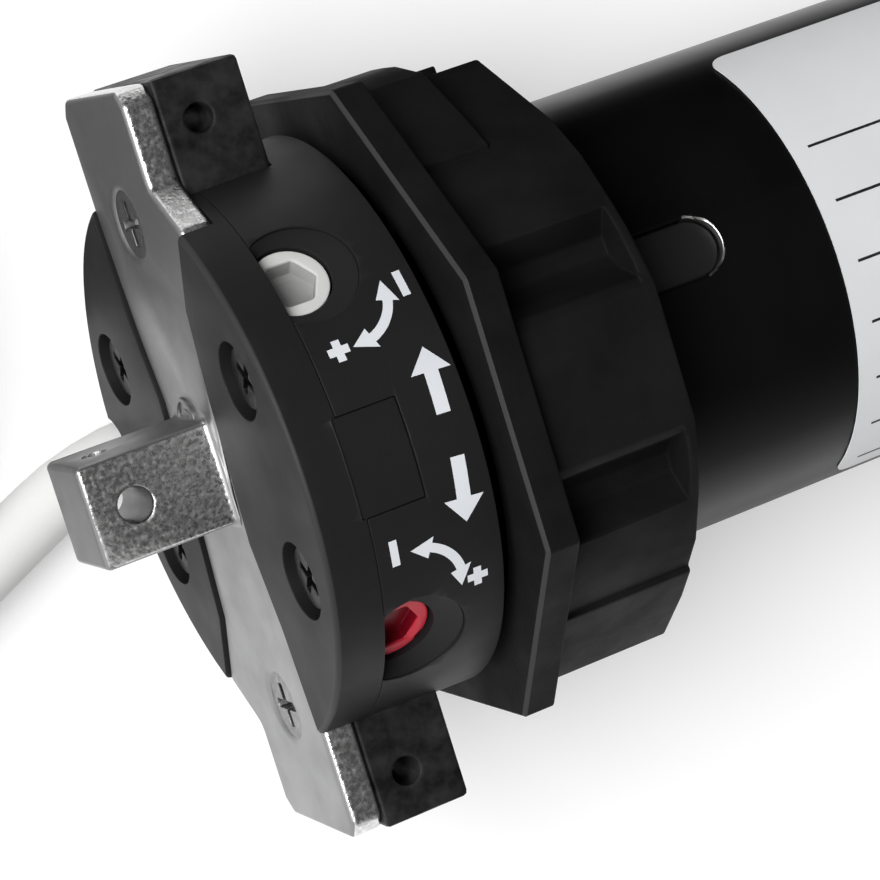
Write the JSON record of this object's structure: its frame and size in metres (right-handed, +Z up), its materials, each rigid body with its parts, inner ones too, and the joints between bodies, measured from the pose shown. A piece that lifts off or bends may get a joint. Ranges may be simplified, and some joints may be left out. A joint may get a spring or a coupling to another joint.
{
  "type": "tubular roller blind motor",
  "caption": "Tubular motor for a roller blind or shutter: round head with a square bracket pin and limit adjusters, an octagon crown, a black tube, a drive wheel and a coiled cable.",
  "frame": {"origin": "on the tube's axis, in the front plane of the bracket arm, where the square pin begins", "axes": "+X along the tube from the bracket to the drive wheel, +Y along the bracket arm towards the white adjuster, +Z up, with the adjusters on top"},
  "size_m": [0.5694, 0.1205, 0.0612],
  "materials": {
    "cast_aluminium": "satin cast and machined",
    "lug_black": "mottled black paint on a casting",
    "zinc_screw": "zinc plated",
    "head_black": "fine grained, satin",
    "screw_black": "blackened",
    "white_plastic": "moulded",
    "red_plastic": "moulded",
    "inner_black": "moulded",
    "grey_plastic": "moulded",
    "spindle_brass": "turned",
    "crown_black": "grained",
    "tube_black": "satin black",
    "label_silver": "silver film",
    "copper": "enamelled",
    "capacitor_grey": "moulded case",
    "die_cast": "die cast",
    "steel": "turned or laminated",
    "brake_lining": "friction lining",
    "gear_plastic": "natural moulded",
    "bush_bronze": "sintered",
    "cable_white": "smooth white jacket",
    "tie_black": "woven strap",
    "core_colours": "coloured core insulation",
    "ferrule_tin": "tinned"
  },
  "bodies": {
    "frame": {"bracket_arm": "cast_aluminium", "lug_blocks": "lug_black", "arm_screws": "zinc_screw", "tube_screws": "zinc_screw", "face_cover": "head_black", "head_housing": "head_black", "cable_plug": "head_black", "face_screws": "screw_black", "limit_sleeve": "inner_black", "capacitor_holders": "inner_black", "limit_frame": "grey_plastic", "terminal_block": "grey_plastic", "limit_switches": "grey_plastic", "end_cap": "crown_black", "motor_tube": "tube_black", "rating_label": "label_silver", "motor_wires": "copper", "stator_windings": "copper", "capacitor": "capacitor_grey", "front_shield": "die_cast", "rear_shield": "die_cast", "brake_plate": "die_cast", "rotor_bearings": "steel", "stator_core": "steel", "brake_spring": "steel", "brake_pad": "brake_lining", "ring_gear": "gear_plastic", "output_bush": "bush_bronze", "cable_run": "cable_white", "cable_coil": "cable_white", "coil_ties": "tie_black", "cable_cores": "core_colours", "core_ferrules": "ferrule_tin"},
    "crown": {"crown_ring": "crown_black"},
    "spindle_up": {"limit_spindle_up": "spindle_brass"},
    "spindle_down": {"limit_spindle_down": "spindle_brass"},
    "nut_up": {"limit_nut_up": "white_plastic"},
    "nut_down": {"limit_nut_down": "red_plastic"},
    "white_adjuster": {"adjuster_white": "white_plastic"},
    "red_adjuster": {"adjuster_red": "red_plastic"},
    "rotor": {"rotor_core": "steel", "rotor_shaft": "steel", "brake_disc": "steel", "sun_pinion": "steel"},
    "first_carrier": {"carrier_1": "gear_plastic"},
    "second_carrier": {"carrier_2": "gear_plastic"},
    "output": {"output_carrier": "steel", "drive_wheel": "crown_black", "wheel_washer": "zinc_screw", "wheel_screw": "zinc_screw"},
    "planet_1a_body": {"planet_1a": "gear_plastic"},
    "planet_1b_body": {"planet_1b": "gear_plastic"},
    "planet_1c_body": {"planet_1c": "gear_plastic"},
    "planet_2a_body": {"planet_2a": "gear_plastic"},
    "planet_2b_body": {"planet_2b": "gear_plastic"},
    "planet_2c_body": {"planet_2c": "gear_plastic"},
    "planet_3a_body": {"planet_3a": "gear_plastic"},
    "planet_3b_body": {"planet_3b": "gear_plastic"},
    "planet_3c_body": {"planet_3c": "gear_plastic"}
  },
  "joints": [
    {"name": "rotor_spin", "type": "hinge", "parent": "frame", "child": "rotor", "pos_m": [0.244, 0, 0], "axis": [1, 0, 0], "continuous": true},
    {"name": "first_carrier_spin", "type": "hinge", "parent": "frame", "child": "first_carrier", "pos_m": [0.3365, 0, 0], "axis": [1, 0, 0], "continuous": true},
    {"name": "second_carrier_spin", "type": "hinge", "parent": "frame", "child": "second_carrier", "pos_m": [0.3532, 0, 0], "axis": [1, 0, 0], "continuous": true},
    {"name": "output_spin", "type": "hinge", "parent": "frame", "child": "output", "pos_m": [0.434, 0, 0], "axis": [1, 0, 0], "continuous": true},
    {"name": "crown_spin", "type": "hinge", "parent": "frame", "child": "crown", "pos_m": [0.0198, 0, 0], "axis": [1, 0, 0], "range_deg": [-5184, 5184]},
    {"name": "spindle_up_spin", "type": "hinge", "parent": "frame", "child": "spindle_up", "pos_m": [0.0198, 0.01103, 0.00926], "axis": [1, 0, 0], "range_deg": [-12970, 12970]},
    {"name": "spindle_down_spin", "type": "hinge", "parent": "frame", "child": "spindle_down", "pos_m": [0.0198, -0.01103, 0.00926], "axis": [1, 0, 0], "range_deg": [-12970, 12970]},
    {"name": "nut_up_slide", "type": "slide", "parent": "frame", "child": "nut_up", "axis": [1, 0, 0], "range_m": [-0.01805, 0.01805]},
    {"name": "nut_down_slide", "type": "slide", "parent": "frame", "child": "nut_down", "axis": [1, 0, 0], "range_m": [-0.01805, 0.01805]},
    {"name": "white_adjuster_turn", "type": "hinge", "parent": "frame", "child": "white_adjuster", "pos_m": [0.0064, 0.01622, 0.02032], "axis": [0, 0.6239, 0.7815], "continuous": true},
    {"name": "red_adjuster_turn", "type": "hinge", "parent": "frame", "child": "red_adjuster", "pos_m": [0.0064, -0.0164, 0.01887], "axis": [0, -0.6561, 0.7547], "continuous": true},
    {"name": "planet_1a_spin", "type": "hinge", "parent": "first_carrier", "child": "planet_1a_body", "pos_m": [0.3304, 0.01073, 0], "axis": [1, 0, 0], "continuous": true},
    {"name": "planet_1b_spin", "type": "hinge", "parent": "first_carrier", "child": "planet_1b_body", "pos_m": [0.3304, -0.00536, 0.00929], "axis": [1, 0, 0], "continuous": true},
    {"name": "planet_1c_spin", "type": "hinge", "parent": "first_carrier", "child": "planet_1c_body", "pos_m": [0.3304, -0.00536, -0.00929], "axis": [1, 0, 0], "continuous": true},
    {"name": "planet_2a_spin", "type": "hinge", "parent": "second_carrier", "child": "planet_2a_body", "pos_m": [0.3446, 0.01073, 0], "axis": [1, 0, 0], "continuous": true},
    {"name": "planet_2b_spin", "type": "hinge", "parent": "second_carrier", "child": "planet_2b_body", "pos_m": [0.3446, -0.00536, 0.00929], "axis": [1, 0, 0], "continuous": true},
    {"name": "planet_2c_spin", "type": "hinge", "parent": "second_carrier", "child": "planet_2c_body", "pos_m": [0.3446, -0.00536, -0.00929], "axis": [1, 0, 0], "continuous": true},
    {"name": "planet_3a_spin", "type": "hinge", "parent": "output", "child": "planet_3a_body", "pos_m": [0.3648, 0.01073, 0], "axis": [1, 0, 0], "continuous": true},
    {"name": "planet_3b_spin", "type": "hinge", "parent": "output", "child": "planet_3b_body", "pos_m": [0.3648, -0.00536, 0.00929], "axis": [1, 0, 0], "continuous": true},
    {"name": "planet_3c_spin", "type": "hinge", "parent": "output", "child": "planet_3c_body", "pos_m": [0.3648, -0.00536, -0.00929], "axis": [1, 0, 0], "continuous": true}
  ],
  "couplings": [
    {"joint": "first_carrier_spin", "follows": "rotor_spin", "ratio": 0.18182},
    {"joint": "second_carrier_spin", "follows": "rotor_spin", "ratio": 0.033058},
    {"joint": "output_spin", "follows": "rotor_spin", "ratio": 0.0060105},
    {"joint": "spindle_up_spin", "follows": "crown_spin", "ratio": 2.5},
    {"joint": "spindle_down_spin", "follows": "crown_spin", "ratio": 2.5},
    {"joint": "nut_up_slide", "follows": "crown_spin", "m_per_rad": 0.00019894},
    {"joint": "nut_down_slide", "follows": "crown_spin", "m_per_rad": 0.00019894},
    {"joint": "planet_1a_spin", "follows": "rotor_spin", "ratio": -0.46753},
    {"joint": "planet_1b_spin", "follows": "rotor_spin", "ratio": -0.46753},
    {"joint": "planet_1c_spin", "follows": "rotor_spin", "ratio": -0.46753},
    {"joint": "planet_2a_spin", "follows": "rotor_spin", "ratio": -0.085006},
    {"joint": "planet_2b_spin", "follows": "rotor_spin", "ratio": -0.085006},
    {"joint": "planet_2c_spin", "follows": "rotor_spin", "ratio": -0.085006},
    {"joint": "planet_3a_spin", "follows": "rotor_spin", "ratio": -0.015456},
    {"joint": "planet_3b_spin", "follows": "rotor_spin", "ratio": -0.015456},
    {"joint": "planet_3c_spin", "follows": "rotor_spin", "ratio": -0.015456}
  ]
}
